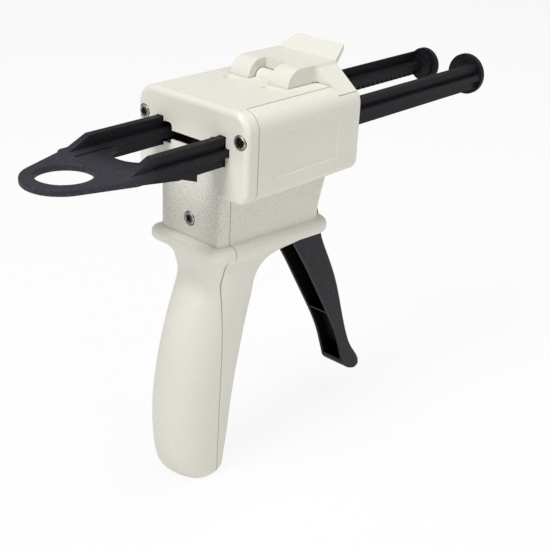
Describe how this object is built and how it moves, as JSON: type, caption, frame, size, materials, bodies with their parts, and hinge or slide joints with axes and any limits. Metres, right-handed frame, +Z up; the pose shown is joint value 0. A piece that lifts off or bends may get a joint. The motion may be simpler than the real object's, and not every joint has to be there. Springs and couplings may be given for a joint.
{
  "type": "dental dispensing gun",
  "caption": "Hand gun for twin-barrel dental cartridges: a long trigger drives rack rods with pressing discs out of a block with a grip and a flip-up cartridge latch.",
  "frame": {"origin": "middle of the cartridge slot, on the face that the cartridge's flange pulls against, midway between the two barrels", "axes": "+X the dispensing direction, +Y the gun's left, +Z up"},
  "size_m": [0.2328, 0.0564, 0.1678],
  "materials": {
    "cream_plastic": "fine grained cream",
    "black_plastic": "satin black",
    "white_plastic": "plain",
    "steel": "ground",
    "pawl_steel": "sintered",
    "spring_steel": "bright drawn",
    "screw_steel": "plated"
  },
  "bodies": {
    "frame": {"housing": "cream_plastic", "rear_cover": "cream_plastic", "latch_spring": "spring_steel", "trigger_pin": "steel", "trigger_spring": "spring_steel", "brake_spring": "spring_steel", "brake_screw": "screw_steel", "upper_screws": "screw_steel", "lower_screw": "screw_steel"},
    "latch": {"latch": "cream_plastic", "latch_pin": "steel"},
    "plunger": {"plunger": "black_plastic", "large_disc": "black_plastic", "small_disc": "black_plastic"},
    "trigger": {"trigger": "black_plastic", "trigger_bushes": "white_plastic", "pawl_pin": "steel", "pawl_clips": "spring_steel", "pawl_spring": "spring_steel"},
    "drive_pawl": {"drive_pawl": "pawl_steel"}
  },
  "joints": [
    {"name": "plunger_slide", "type": "slide", "parent": "frame", "child": "plunger", "axis": [1, 0, 0], "range_m": [-0.1056, 0.0132]},
    {"name": "trigger_hinge", "type": "hinge", "parent": "frame", "child": "trigger", "pos_m": [-0.0234, 0, -0.0255], "axis": [0, 1, 0], "range_deg": [0, 22], "stiffness_Nm_per_rad": 0.15, "springref_deg": -11.46, "deforming": ["trigger_spring"]},
    {"name": "pawl_hinge", "type": "hinge", "parent": "trigger", "child": "drive_pawl", "pos_m": [-0.0254, 0, -0.0115], "axis": [0, 1, 0], "range_deg": [-9, 0], "stiffness_Nm_per_rad": 0.02, "springref_deg": 2.86, "deforming": ["pawl_spring"]},
    {"name": "latch_hinge", "type": "hinge", "parent": "frame", "child": "latch", "pos_m": [-0.0174, 0, 0.0154], "axis": [0, -1, 0], "range_deg": [0, 100]}
  ]
}
